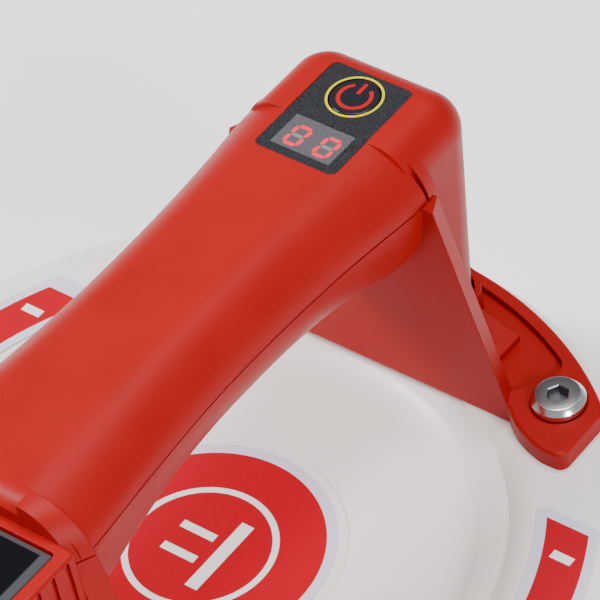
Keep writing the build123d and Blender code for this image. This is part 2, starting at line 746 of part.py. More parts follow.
# The button hangs by its flange under the shell and stands clear of the switch at rest.
plunger_top = board_top + switch_height + 0.7
shell_under_panel = handle_top - wall
with BuildPart() as power_button:
    with Locations((power_x, 0, shell_under_panel - 0.25)):
        Cylinder(power_radius + 1.2, 1.0, align=(Align.CENTER, Align.CENTER, Align.MAX))
        Cylinder(power_radius, handle_top - 0.1 - shell_under_panel + 0.25,
                 align=(Align.CENTER, Align.CENTER, Align.MIN))
    with Locations((power_x, 0, plunger_top + power_travel + 0.25)):
        Cylinder(1.6, 1.2, align=(Align.CENTER, Align.CENTER, Align.MIN))
    fillet(power_button.faces().sort_by(Axis.Z)[-1].edges(), radius=0.4)
power_button.part.label = "power_button"
export_step(power_button.part, "parts/power_button.step")

with BuildPart() as vacuum_sensor:
    with Locations((56.0, 0, board_top - board_thickness)):
        Box(8.0, 8.0, 4.0, align=(Align.CENTER, Align.CENTER, Align.MAX))
    with Locations((56.0, 0, board_top - board_thickness - 4.0)):
        Cylinder(1.4, 5.0, align=(Align.CENTER, Align.CENTER, Align.MAX))
vacuum_sensor.part.label = "vacuum_sensor"
export_step(vacuum_sensor.part, "parts/vacuum_sensor.step")

# ---------- battery ----------
cell_back_x = cell_front_x - cell_length
cell_places = [(cell_back_x, side * (cell_radius + 0.1), cell_height) for side in (1, -1)]
with BuildPart() as battery_cells:
    for x, y, z in cell_places:
        with BuildSketch(Plane((x, y, z), x_dir=(0, 1, 0), z_dir=(1, 0, 0))):
            Circle(cell_radius)
        extrude(amount=cell_length)
battery_cells.part.label = "battery_cells"
export_step(battery_cells.part, "parts/battery_cells.step")

with BuildPart() as battery_tabs:
    with Locations((cell_front_x, 0, cell_height), (cell_back_x - 0.3, 0, cell_height)):
        Box(0.3, 24.0, 6.0, align=(Align.MIN, Align.CENTER, Align.CENTER))
battery_tabs.part.label = "battery_tabs"
export_step(battery_tabs.part, "parts/battery_tabs.step")

with BuildPart() as cell_cradle:
    with Locations(((cell_front_x + cell_back_x) / 2, 0, cell_height - cell_radius - 3.0)):
        Box(44.0, 18.0, 8.0, align=(Align.CENTER, Align.CENTER, Align.MIN))
    for x, y, z in cell_places:
        with BuildSketch(Plane((x, y, z), x_dir=(0, 1, 0), z_dir=(1, 0, 0))):
            Circle(cell_radius + 0.05)
        extrude(amount=cell_length, mode=Mode.SUBTRACT)
cell_cradle.part.label = "cell_cradle"
export_step(cell_cradle.part, "parts/cell_cradle.step")

with BuildPart() as charge_board:
    with Locations((cell_back_x - 2.0, 0, cell_height)):
        Box(1.2, 20.0, 12.0, align=(Align.MAX, Align.CENTER, Align.CENTER))
charge_board.part.label = "charge_board"
export_step(charge_board.part, "parts/charge_board.step")

socket_plane = Plane((block_end_x + 0.4, charge_y, charge_height), z_dir=(1, 0, 0))
with BuildPart() as charge_socket:
    with BuildSketch(socket_plane):
        Circle(4.1)
        Circle(2.8, mode=Mode.SUBTRACT)
    extrude(amount=3.0)
    with BuildSketch(socket_plane.offset(2.3)):
        Circle(4.1)
    extrude(amount=5.0)
    with BuildSketch(socket_plane.offset(2.1)):
        Circle(5.4)
        Circle(2.8, mode=Mode.SUBTRACT)
    extrude(amount=1.4)
    with BuildSketch(socket_plane.offset(0.4)):
        Circle(1.0)
    extrude(amount=3.0)
charge_socket.part.label = "charge_socket"
export_step(charge_socket.part, "parts/charge_socket.step")

# ---------- vacuum pump ----------
head_low = 38.0
head_high = 52.5
chamber_radius = 6.6
chamber_low = 45.0
motor_length = 25.1
shaft_radius = 1.0

with BuildPart() as pump_head:
    with Locations((pump_x, 0, head_low)):
        Box(16.5, 24.0, head_high - head_low, align=(Align.CENTER, Align.CENTER, Align.MIN))
    fillet(pump_head.edges().filter_by(Axis.Z), radius=3.0)
    with Locations((pump_x, 0, head_high)):
        Cylinder(chamber_radius, head_high - chamber_low,
                 align=(Align.CENTER, Align.CENTER, Align.MAX), mode=Mode.SUBTRACT)
    with Locations((pump_x, 0, head_low)):
        Cylinder(2.2, 3.0, align=(Align.CENTER, Align.CENTER, Align.MAX))
        Cylinder(1.2, 3.0, align=(Align.CENTER, Align.CENTER, Align.MAX), mode=Mode.SUBTRACT)
        Cylinder(1.2, 4.0, align=(Align.CENTER, Align.CENTER, Align.MIN), mode=Mode.SUBTRACT)
pump_head.part.label = "pump_head"
export_step(pump_head.part, "parts/pump_head.step")

with BuildPart() as pump_diaphragm:
    with Locations((pump_x, 0, chamber_low)):
        Cylinder(chamber_radius, 0.8, align=(Align.CENTER, Align.CENTER, Align.MIN))
pump_diaphragm.part.label = "pump_diaphragm"
export_step(pump_diaphragm.part, "parts/pump_diaphragm.step")

# Flat-sided motor can; the shaft runs through its end plate with clearance.
with BuildPart() as pump_motor:
    with BuildSketch(Plane.XY.offset(head_high)):
        with Locations((pump_x, 0)):
            Circle(10.05)
            Rectangle(15.1, 30.0, mode=Mode.INTERSECT)
    extrude(amount=motor_length)
    with Locations((pump_x, 0, head_high)):
        Cylinder(shaft_radius + 0.05, motor_length - 1.5,
                 align=(Align.CENTER, Align.CENTER, Align.MIN), mode=Mode.SUBTRACT)
pump_motor.part.label = "pump_motor"
export_step(pump_motor.part, "parts/pump_motor.step")

with BuildPart() as motor_shaft:
    with Locations((pump_x, 0, chamber_low + 1.6)):
        Cylinder(shaft_radius, head_high - chamber_low - 1.6 + motor_length - 2.5,
                 align=(Align.CENTER, Align.CENTER, Align.MIN))
motor_shaft.part.label = "motor_shaft"
export_step(motor_shaft.part, "parts/motor_shaft.step")

# The crank is a disc set off centre on the shaft.
with BuildPart() as pump_crank:
    with Locations((pump_x + 1.2, 0, chamber_low + 2.0)):
        Cylinder(4.2, 4.5, align=(Align.CENTER, Align.CENTER, Align.MIN))
    with Locations((pump_x, 0, chamber_low + 2.0)):
        Cylinder(shaft_radius, 4.5, align=(Align.CENTER, Align.CENTER, Align.MIN),
                 mode=Mode.SUBTRACT)
pump_crank.part.label = "pump_crank"
export_step(pump_crank.part, "parts/pump_crank.step")

# The bracket wraps the motor and stands on the pump head.
with BuildPart() as motor_bracket:
    with BuildSketch(Plane.XY.offset(head_high + 8.0)):
        with Locations((pump_x, 0)):
            Circle(11.6)
            Rectangle(17.5, 30.0, mode=Mode.INTERSECT)
    extrude(amount=9.0)
    with BuildSketch(Plane.XY.offset(head_high + 8.0)):
        with Locations((pump_x, 0)):
            Circle(10.1)
            Rectangle(15.2, 30.0, mode=Mode.INTERSECT)
    extrude(amount=9.0, mode=Mode.SUBTRACT)
motor_bracket.part.label = "motor_bracket"
export_step(motor_bracket.part, "parts/motor_bracket.step")

with BuildPart() as port_fitting:
    with Locations((pump_x, 0, carrier_top)):
        Cylinder(5.9, foot_top - pocket_depth - carrier_top + 3.0,
                 align=(Align.CENTER, Align.CENTER, Align.MIN))
        Cylinder(2.2, 23.0, align=(Align.CENTER, Align.CENTER, Align.MIN))
        Cylinder(1.2, 23.0, align=(Align.CENTER, Align.CENTER, Align.MIN), mode=Mode.SUBTRACT)
    with Locations((pump_x, 0, foot_top)):
        Cylinder(7.4, 1.2, align=(Align.CENTER, Align.CENTER, Align.MIN))
        Cylinder(1.2, 1.2, align=(Align.CENTER, Align.CENTER, Align.MIN), mode=Mode.SUBTRACT)
port_fitting.part.label = "port_fitting"
export_step(port_fitting.part, "parts/port_fitting.step")

hose_low = foot_top + 1.3
with BuildPart() as vacuum_hose:
    with Locations((pump_x, 0, hose_low)):
        Cylinder(3.8, head_low - 0.1 - hose_low, align=(Align.CENTER, Align.CENTER, Align.MIN))
        Cylinder(2.2, head_low - 0.1 - hose_low, align=(Align.CENTER, Align.CENTER, Align.MIN),
                 mode=Mode.SUBTRACT)
vacuum_hose.part.label = "vacuum_hose"
export_step(vacuum_hose.part, "parts/vacuum_hose.step")

# ---------- vacuum release ----------
valve_seat = 18.5
guide_top = 62.0
stem_radius = 2.0
button_underside = 83.0

with BuildPart() as valve_body:
    with Locations((release_x, 0, valve_seat)):
        Cylinder(5.9, foot_top - valve_seat, align=(Align.CENTER, Align.CENTER, Align.MIN))
    with Locations((release_x, 0, foot_top)):
        Cylinder(7.4, 3.0, align=(Align.CENTER, Align.CENTER, Align.MIN))
        Cylinder(5.2, guide_top - foot_top, align=(Align.CENTER, Align.CENTER, Align.MIN))
    with Locations((release_x, 0, valve_seat)):
        Cylinder(stem_radius + 0.08, 60, align=(Align.CENTER, Align.CENTER, Align.MIN),
                 mode=Mode.SUBTRACT)
        Cylinder(3.6, 22, align=(Align.CENTER, Align.CENTER, Align.MIN), mode=Mode.SUBTRACT)
    # Side vent that lets air in above the foot.
    with Locations(Plane((release_x, 0, foot_top + 7.0), z_dir=(0, 1, 0))):
        Cylinder(1.5, 20, mode=Mode.SUBTRACT)
valve_body.part.label = "valve_body"
export_step(valve_body.part, "parts/valve_body.step")

with BuildPart() as release_stem:
    with Locations((release_x, 0, valve_seat - 2.6)):
        Cylinder(stem_radius, button_underside - valve_seat + 2.6,
                 align=(Align.CENTER, Align.CENTER, Align.MIN))
release_stem.part.label = "release_stem"
export_step(release_stem.part, "parts/release_stem.step")

with BuildPart() as valve_disc:
    with Locations((release_x, 0, valve_seat - 0.3)):
        Cylinder(5.2, 2.0, align=(Align.CENTER, Align.CENTER, Align.MAX))
        Cylinder(stem_radius, 2.0, align=(Align.CENTER, Align.CENTER, Align.MAX),
                 mode=Mode.SUBTRACT)
valve_disc.part.label = "valve_disc"
export_step(valve_disc.part, "parts/valve_disc.step")

# A broad cap with a bevelled edge, kept under the rim by a flange.
button_gap = 0.5
rim_under = block_rim_height - wall
inset_centre = (inset_start_x + inset_end_x) / 2
button_length = inset_start_x - inset_end_x - 2 * button_gap
button_width = 2 * inset_width - 2 * button_gap
with BuildPart() as release_button:
    with BuildSketch(Plane.XY.offset(rim_under - 0.3)) as flange:
        with Locations((inset_centre, 0)):
            Rectangle(button_length + 0.6, button_width + 2.0)
    extrude(amount=-2.0)
    with BuildSketch(Plane.XY.offset(rim_under - 0.3)) as cap:
        with Locations((inset_centre, 0)):
            Rectangle(button_length, button_width)
    extrude(amount=block_rim_height + 0.6 - rim_under + 0.3)
    chamfer(release_button.faces().sort_by(Axis.Z)[-1].edges(), length=1.2, length2=1.9)
    with Locations((release_x, 0, rim_under - 2.3)):
        Cylinder(4.5, rim_under - 2.3 - button_underside + 2.0,
                 align=(Align.CENTER, Align.CENTER, Align.MAX))
        Cylinder(stem_radius, 20, align=(Align.CENTER, Align.CENTER, Align.MAX),
                 mode=Mode.SUBTRACT)
release_button.part.label = "release_button"
export_step(release_button.part, "parts/release_button.step")

spring_low = guide_top
spring_high = button_underside - 2.0
spring_radius = 3.6
spring_turns = 6
with BuildPart() as release_spring:
    with BuildLine() as coil:
        Helix(pitch=(spring_high - spring_low - 1.0) / spring_turns,
              height=spring_high - spring_low - 1.0, radius=spring_radius,
              center=(release_x, 0, spring_low + 0.5))
    with BuildSketch(Plane(coil.line @ 0, z_dir=coil.line % 0)):
        Circle(0.45)
    sweep(path=coil.line)
release_spring.part.label = "release_spring"
export_step(release_spring.part, "parts/release_spring.step")
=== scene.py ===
"""Looks of a battery vacuum lifter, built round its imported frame."""

import json
import math

import bmesh
import bpy
from mathutils import Matrix, Vector

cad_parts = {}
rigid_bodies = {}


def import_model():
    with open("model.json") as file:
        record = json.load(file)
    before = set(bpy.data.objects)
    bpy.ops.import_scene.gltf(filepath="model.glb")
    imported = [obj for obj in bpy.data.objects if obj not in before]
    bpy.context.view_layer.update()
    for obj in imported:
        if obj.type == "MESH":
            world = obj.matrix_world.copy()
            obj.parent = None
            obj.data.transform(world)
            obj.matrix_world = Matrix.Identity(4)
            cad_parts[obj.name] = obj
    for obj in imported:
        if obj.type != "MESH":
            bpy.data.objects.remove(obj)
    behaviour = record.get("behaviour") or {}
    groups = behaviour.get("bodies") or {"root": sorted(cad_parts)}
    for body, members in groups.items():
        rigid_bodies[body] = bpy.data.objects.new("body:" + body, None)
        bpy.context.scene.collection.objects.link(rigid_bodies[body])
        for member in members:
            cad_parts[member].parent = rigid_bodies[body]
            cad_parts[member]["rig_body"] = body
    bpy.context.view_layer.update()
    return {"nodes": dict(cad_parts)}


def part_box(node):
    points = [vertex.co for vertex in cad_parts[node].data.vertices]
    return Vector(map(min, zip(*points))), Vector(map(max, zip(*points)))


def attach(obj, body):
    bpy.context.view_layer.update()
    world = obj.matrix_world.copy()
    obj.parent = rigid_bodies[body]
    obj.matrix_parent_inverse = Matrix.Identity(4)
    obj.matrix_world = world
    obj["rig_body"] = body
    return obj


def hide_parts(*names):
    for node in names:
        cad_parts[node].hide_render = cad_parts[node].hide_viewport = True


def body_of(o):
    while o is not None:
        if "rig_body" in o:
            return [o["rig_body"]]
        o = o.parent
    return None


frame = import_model()

bl_info = {
    "name": "Vacuum Lifter Looks",
    "version": (1, 0, 0),
    "blender": (4, 5, 0),
    "location": "3D View > Sidebar > Lifter",
    "description": "Builds the finished pieces, materials and stage of a vacuum lifter",
    "category": "Object",
}

MM = 0.001


# ---------------------------------------------------------------- places read from the frame

def low(node):
    return Vector(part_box(node)[0])


def high(node):
    return Vector(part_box(node)[1])


def middle(node):
    return (low(node) + high(node)) / 2


# ---------------------------------------------------------------- properties

def colour(name, description, default):
    """A colour property; defaults are linear."""
    return bpy.props.FloatVectorProperty(
        name=name, description=description, default=default, subtype="COLOR",
        size=3, min=0.0, max=1.0)


def length(name, description, default):
    """A length property in metres."""
    return bpy.props.FloatProperty(
        name=name, description=description, default=default, min=0.0,
        subtype="DISTANCE", unit="LENGTH", precision=5)


def linear(red, green, blue):
    """Turns display values from 0 to 255 into linear ones."""
    out = []
    for value in (red, green, blue):
        share = value / 255
        out.append(share / 12.92 if share <= 0.04045 else ((share + 0.055) / 1.055) ** 2.4)
    return tuple(out)


class LifterColours(bpy.types.PropertyGroup):
    """Colours that a user would change."""
    shell: colour("Shell", "Moulded handle shells", linear(154, 11, 11))
    plate: colour("Plate", "Dished lifting plate", linear(246, 243, 239))
    foam: colour("Foam", "Foam seal under the plate", linear(38, 38, 40))
    label: colour("Label", "Printed field of the labels", linear(182, 0, 30))
    border: colour("Border", "Pale border of the labels", linear(218, 215, 233))
    panel: colour("Panel", "Grained control film", linear(30, 31, 35))
    ring: colour("Button ring", "Printed ring round the power button", linear(205, 190, 0))
    sign: colour("Power sign", "Printed power sign", linear(172, 8, 20))
    digit: colour("Digits", "Lit display segments", linear(250, 30, 70))
    lens: colour("Lens", "Smoked display window", linear(78, 75, 79))
    inset: colour("Release button", "Polished release button", linear(8, 9, 13))


class LifterSizes(bpy.types.PropertyGroup):
    """Sizes that a user would change, in metres."""
    label_field: length("Label field", "Radius of the round label's field", 28.4 * MM)
    label_border: length("Label border", "Radius of the round label's border", 31.1 * MM)
    print_height: length("Print height", "How far printing stands off the film", 0.04 * MM)
    ring_inner: length("Ring inner", "Inner radius of the button's ring", 6.02 * MM)
    ring_outer: length("Ring outer", "Outer radius of the button's ring", 6.6 * MM)
    sign_radius: length("Sign radius", "Outer radius of the power sign", 4.2 * MM)
    sign_stroke: length("Sign stroke", "Stroke of the power sign", 0.95 * MM)
    digit_height: length("Digit height", "Height of a display digit", 6.7 * MM)
    digit_width: length("Digit width", "Width of a display digit", 4.5 * MM)
    segment: length("Segment", "Stroke of a display segment", 1.0 * MM)


# ---------------------------------------------------------------- shader arithmetic

class Value:
    """A shader socket that takes part in plain arithmetic."""

    def __init__(self, shade, socket):
        self.shade = shade
        self.socket = socket

    def math(self, operation, other=None, swapped=False):
        first, second = (other, self) if swapped else (self, other)
        values = {0: first}
        if second is not None:
            values[1] = second
        return self.shade.node("ShaderNodeMath", {"operation": operation}, values)

    def __add__(self, other):
        return self.math("ADD", other)

    def __radd__(self, other):
        return self.math("ADD", other, swapped=True)

    def __sub__(self, other):
        return self.math("SUBTRACT", other)

    def __rsub__(self, other):
        return self.math("SUBTRACT", other, swapped=True)

    def __mul__(self, other):
        return self.math("MULTIPLY", other)

    def __rmul__(self, other):
        return self.math("MULTIPLY", other, swapped=True)

    def __truediv__(self, other):
        return self.math("DIVIDE", other)

    def __abs__(self):
        return self.math("ABSOLUTE")

    def least(self, other):
        return self.math("MINIMUM", other)

    def most(self, other):
        return self.math("MAXIMUM", other)

    def root(self):
        return self.math("SQRT")


class Shade:
    """A procedural material made node by node."""

    def __init__(self, name, base, roughness, metallic=0.0, **constants):
        self.material = bpy.data.materials.new(name)
        self.material.use_nodes = True
        self.tree = self.material.node_tree
        self.surface = self.tree.nodes["Principled BSDF"]
        self.material.diffuse_color = (*base, 1.0)
        self.put("Base Color", base)
        self.put("Roughness", roughness)
        self.put("Metallic", metallic)
        for socket, value in constants.items():
            self.put(socket.replace("_", " "), value)

    def fill(self, socket, value):
        """Links a value into a socket, or sets the socket to a constant."""
        if isinstance(value, Value):
            self.tree.links.new(value.socket, socket)
        elif isinstance(value, (tuple, list, Vector)) and len(value) == 3:
            wide = hasattr(socket.default_value, "__len__") and len(socket.default_value) == 4
            socket.default_value = (*value, 1.0) if wide else value
        else:
            socket.default_value = value

    def put(self, socket, value):
        """Fills one socket of the surface shader."""
        self.fill(self.surface.inputs[socket], value)

    def node(self, kind, settings=None, values=None, output=0):
        """Adds any node: its settings first, then the values or links of its sockets."""
        made = self.tree.nodes.new(kind)
        for name, setting in (settings or {}).items():
            setattr(made, name, setting)
        for name, value in (values or {}).items():
            self.fill(made.inputs[name], value)
        return Value(self, made.outputs[output])

    def place(self):
        """Object coordinates, in metres in the row's frame."""
        return self.node("ShaderNodeTexCoord", output="Object")

    def axes(self, offset=(0.0, 0.0, 0.0)):
        """The three object coordinates, counted from a point."""
        parts = self.node("ShaderNodeSeparateXYZ", values={0: self.place()})
        outputs = parts.socket.node.outputs
        return [Value(self, outputs[i]) - offset[i] for i in range(3)]

    def noise(self, scale, detail=2.0, rough=0.5):
        return self.node("ShaderNodeTexNoise", values={
            "Vector": self.place(), "Scale": scale, "Detail": detail, "Roughness": rough})

    def cells(self, scale, feature="F1"):
        return self.node("ShaderNodeTexVoronoi", {"feature": feature}, {
            "Vector": self.place(), "Scale": scale})

    def step(self, value, start, end, first=0.0, last=1.0):
        """Goes from first to last as the value passes from start to end."""
        return self.node("ShaderNodeMapRange", {"clamp": True}, {
            "Value": value, "From Min": start, "From Max": end,
            "To Min": first, "To Max": last})

    def mix(self, factor, first, second):
        """Mixes two colours."""
        made = self.tree.nodes.new("ShaderNodeMix")
        made.data_type = "RGBA"
        self.fill(made.inputs["Factor"], factor)
        self.fill(made.inputs[6], first)
        self.fill(made.inputs[7], second)
        return Value(self, made.outputs[2])

    def relief(self, height, distance, strength=1.0, edge=0.0):
        """Bumps the surface; edge rounds its sharp edges by that radius."""
        made = {"Height": height, "Distance": distance, "Strength": strength}
        if edge:
            made["Normal"] = self.node("ShaderNodeBevel", {"samples": 6}, {"Radius": edge})
        self.put("Normal", self.node("ShaderNodeBump", values=made))


def scaled(base, factor):
    return tuple(min(1.0, channel * factor) for channel in base)


def moulded(name, base, roughness, grain=0.25 * MM, depth=0.012 * MM, edge=0.35 * MM,
            mottle=0.10, **constants):
    """Moulded plastic: fine spark-eroded grain, faint mottling and soft edges."""
    shade = Shade(name, base, roughness, **constants)
    fine = shade.noise(1.0 / grain, 2.0, 0.6)
    broad = shade.noise(55.0, 3.0)
    shade.put("Base Color", shade.mix(
        shade.step(fine * 0.6 + broad * 0.4, 0.35, 0.65),
        scaled(base, 1 - mottle), scaled(base, 1 + mottle)))
    shade.put("Roughness", shade.step(broad, 0.3, 0.7, roughness - 0.04, roughness + 0.05))
    shade.relief(fine, depth, edge=edge)
    return shade.material


def turned_metal(name, base, roughness, grain=0.15 * MM, depth=0.002 * MM, edge=0.15 * MM):
    """Machined or drawn metal with faint tool marks."""
    shade = Shade(name, base, roughness, 1.0)
    marks = shade.noise(1.0 / grain, 3.0, 0.6)
    shade.put("Roughness", shade.step(marks, 0.3, 0.7, roughness * 0.85, roughness * 1.25))
    shade.put("Base Color", shade.mix(marks, scaled(base, 0.88), scaled(base, 1.06)))
    shade.relief(marks, depth, edge=edge)
    return shade.material


# ---------------------------------------------------------------- mesh helpers

def new_piece(name, mesh, material, body):
    """Puts a mesh into the scene as a finished piece that rides on a body."""
    piece = bpy.data.objects.new(name, mesh)
    bpy.context.scene.collection.objects.link(piece)
    mesh.materials.clear()
    mesh.materials.append(material)
    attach(piece, body)
    return piece


def lathe(name, profile, steps, centre=(0.0, 0.0), closed=True):
    """Turns a profile of (radius, height) pairs round an upright axis."""
    mesh = bpy.data.meshes.new(name)
    work = bmesh.new()
    rings = []
    for index in range(steps):
        angle = 2 * math.pi * index / steps
        rings.append([work.verts.new((
            centre[0] + r * math.cos(angle), centre[1] + r * math.sin(angle), z))
            for r, z in profile])
    count = len(profile)
    for index in range(steps):
        here = rings[index]
        after = rings[(index + 1) % steps]
        for row in range(count if closed else count - 1):
            nxt = (row + 1) % count
            work.faces.new((here[row], after[row], after[nxt], here[nxt]))
    bmesh.ops.remove_doubles(work, verts=work.verts, dist=1e-7)
    bmesh.ops.recalc_face_normals(work, faces=work.faces)
    work.to_mesh(mesh)
    work.free()
    soften(mesh, 35)
    return mesh


def soften(mesh, degrees):
    """Smooth shading, kept sharp at edges that turn by more than an angle."""
    mesh.shade_smooth()
    work = bmesh.new()
    work.from_mesh(mesh)
    for edge in work.edges:
        edge.smooth = len(edge.link_faces) == 2 and edge.calc_face_angle() < math.radians(degrees)
    work.to_mesh(mesh)
    work.free()


def arc(centre, radius, start, end, steps):
    """Points along an arc of a profile; angles in degrees."""
    points = []
    for index in range(steps + 1):
        angle = math.radians(start + (end - start) * index / steps)
        points.append((centre[0] + radius * math.cos(angle),
                       centre[1] + radius * math.sin(angle)))
    return points


def raised(name, loops, bottom, top):
    """A thin print: each closed loop of (x, y) points becomes a low raised island."""
    mesh = bpy.data.meshes.new(name)
    work = bmesh.new()
    for loop in loops:
        lower = [work.verts.new((x, y, bottom)) for x, y in loop]
        upper = [work.verts.new((x, y, top)) for x, y in loop]
        count = len(loop)
        work.faces.new(upper)
        work.faces.new(list(reversed(lower)))
        for index in range(count):
            nxt = (index + 1) % count
            work.faces.new((lower[index], lower[nxt], upper[nxt], upper[index]))
    bmesh.ops.recalc_face_normals(work, faces=work.faces)
    work.to_mesh(mesh)
    work.free()
    return mesh


def band(centre, inner, outer, start, end, steps):
    """A closed loop round an arc-shaped band; angles in degrees."""
    away = arc(centre, outer, start, end, steps)
    back = arc(centre, inner, end, start, steps)
    return away + back


def ride_copy(node, degrees, material):
    """A welded, smooth-shaded copy that stands for a CAD node with curved faces."""
    source = frame["nodes"][node]
    mesh = source.data.copy()
    work = bmesh.new()
    work.from_mesh(mesh)
    bmesh.ops.remove_doubles(work, verts=work.verts, dist=1e-6)
    work.to_mesh(mesh)
    work.free()
    soften(mesh, degrees)
    piece = new_piece(node + "_finished", mesh, material, body_of(source)[0])
    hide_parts(node)
    return piece


def paint(node, material):
    """Gives a CAD node a better material."""
    slots = frame["nodes"][node].data.materials
    slots.clear()
    slots.append(material)


def sizes():
    return bpy.context.scene.lifter_sizes


def colours():
    return bpy.context.scene.lifter_colours


def hue(name):
    return tuple(getattr(colours(), name))


# ---------------------------------------------------------------- geometry nodes

class Tree:
    """A geometry node tree with named inputs, made node by node."""

    def __init__(self, name):
        self.tree = bpy.data.node_groups.new(name, "GeometryNodeTree")
        self.tree.interface.new_socket("Geometry", in_out="INPUT",
                                       socket_type="NodeSocketGeometry")
        self.tree.interface.new_socket("Geometry", in_out="OUTPUT",
                                       socket_type="NodeSocketGeometry")
        self.start = self.tree.nodes.new("NodeGroupInput")
        self.end = self.tree.nodes.new("NodeGroupOutput")
        self.identifiers = {}

    def number(self, name, default):
        """A named length input of the tree."""
        socket = self.tree.interface.new_socket(name, in_out="INPUT",
                                                socket_type="NodeSocketFloat")
        socket.subtype = "DISTANCE"
        socket.default_value = default
        self.identifiers[name] = socket.identifier
        return self.start.outputs[name]

    def add(self, kind, settings=None, values=None, output=0):
        """Adds a node and returns one of its outputs."""
        made = self.tree.nodes.new(kind)
        for name, setting in (settings or {}).items():
            setattr(made, name, setting)
        for name, value in (values or {}).items():
            socket = made.inputs[name]
            if isinstance(value, bpy.types.NodeSocket):
                self.tree.links.new(value, socket)
            else:
                socket.default_value = value
        return made.outputs[output]

    def finish(self, geometry, material):
        """Realises the instances, sets the material and closes the tree."""
        real = self.add("GeometryNodeRealizeInstances", values={"Geometry": geometry})
        done = self.add("GeometryNodeSetMaterial", values={
            "Geometry": real, "Material": material})
        self.tree.links.new(done, self.end.inputs["Geometry"])


def grown(name, tree, values):
    """Evaluates a tree on an empty mesh and returns the result as a plain mesh."""
    seed = bpy.data.objects.new(name + "_seed", bpy.data.meshes.new(name + "_seed"))
    bpy.context.scene.collection.objects.link(seed)
    modifier = seed.modifiers.new("Grow", "NODES")
    modifier.node_group = tree.tree
    for label, value in values.items():
        modifier[tree.identifiers[label]] = value
    graph = bpy.context.evaluated_depsgraph_get()
    mesh = bpy.data.meshes.new_from_object(seed.evaluated_get(graph))
    mesh.name = name
    seed.modifiers.remove(modifier)
    bpy.data.objects.remove(seed)
    return mesh


# ---------------------------------------------------------------- operators

class LifterPiece(bpy.types.Operator):
    """Common ground of the operators that make one piece or group each."""
    bl_idname = "lifter.piece"
    bl_label = "Lifter Piece"
    bl_options = {"REGISTER", "UNDO"}

    def execute(self, context):
        """Builds the piece and stops with an error if it can't."""
        self.build()
        return {"FINISHED"}

    def build(self):
        raise NotImplementedError("a piece needs its own build")


class LIFTER_OT_plate(LifterPiece):
    """Dished plate, turned smoothly to the frame's radius and heights"""
    bl_idname = "lifter.plate"
    bl_label = "Base Plate"

    def build(self):
        node_low, node_high = low("base_plate"), high("base_plate")
        radius = node_high.x
        top = node_high.z
        floor = low("centre_label").z
        skin = 3.5 * MM
        rim_round = 7 * MM
        foot_round = 1.2 * MM
        floor_edge, wall_foot, wall_top, land = 33 * MM, 63 * MM, 73 * MM, 85 * MM
        profile = [(0.0, floor), (floor_edge, floor)]
        profile += arc((55.5 * MM, floor + 12 * MM), 12 * MM, -90, -52, 10)
        profile += arc((76.0 * MM, top - 9 * MM), 9 * MM, 142, 90, 14)
        profile += [(land, top)]
        profile += arc((radius - rim_round, top - rim_round), rim_round, 90, 0, 14)
        profile += [(radius, (node_low.z + top) / 2), (radius, node_low.z + foot_round)]
        profile += arc((radius - foot_round, node_low.z + foot_round), foot_round, 0, -90, 4)
        profile += [(radius - skin, node_low.z), (radius - skin, top - skin - 2 * MM)]
        profile += [(radius - skin - 2 * MM, top - skin), (wall_top, top - skin)]
        profile += [(wall_foot, floor - skin), (0.0, floor - skin)]
        shade = Shade("plate_satin", hue("plate"), 0.34, Specular_IOR_Level=0.45)
        specks = shade.cells(420.0)
        where = shade.noise(60.0, 1.0)
        dots = shade.step(specks, 0.045, 0.075, 1.0, 0.0) * shade.step(where, 0.50, 0.56)
        haze = shade.noise(28.0, 3.0)
        base = shade.mix(shade.step(haze, 0.35, 0.65), scaled(hue("plate"), 0.965), hue("plate"))
        shade.put("Base Color", shade.mix(dots * 0.35, base, linear(150, 146, 138)))
        shade.put("Roughness", shade.step(haze, 0.3, 0.7, 0.30, 0.38))
        shade.relief(shade.noise(3500.0), 0.004 * MM)
        mesh = lathe("base_plate_finished", profile, 256, closed=False)
        piece = new_piece("base_plate_finished", mesh, shade.material, "root")
        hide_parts("base_plate")


class LIFTER_OT_seal(LifterPiece):
    """Foam seal with rounded edges, and the ring that carries it"""
    bl_idname = "lifter.seal"
    bl_label = "Foam Seal"

    def build(self):
        bottom, top = low("foam_seal").z, high("foam_seal").z
        outer = high("foam_seal").x
        seal_width = 14 * MM
        waist = 0.25 * MM
        inner = outer - seal_width
        round_off = 1.2 * MM
        profile = arc((outer - round_off, bottom + round_off), round_off, -90, 0, 5)
        profile += [(outer - waist, (bottom + top) / 2), (outer, top), (inner, top)]
        profile += [(inner + waist, (bottom + top) / 2)]
        profile += arc((inner + round_off, bottom + round_off), round_off, 180, 270, 5)
        shade = Shade("foam_cells", hue("foam"), 0.9)
        pores = shade.cells(900.0)
        shade.put("Base Color", shade.mix(pores, scaled(hue("foam"), 0.5),
                                          scaled(hue("foam"), 1.8)))
        shade.relief(pores, 0.15 * MM)
        mesh = lathe("foam_seal_finished", profile, 192)
        piece = new_piece("foam_seal_finished", mesh, shade.material, "root")
        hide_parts("foam_seal")
        paint("seal_carrier", moulded("carrier_plastic", linear(40, 40, 42), 0.5))


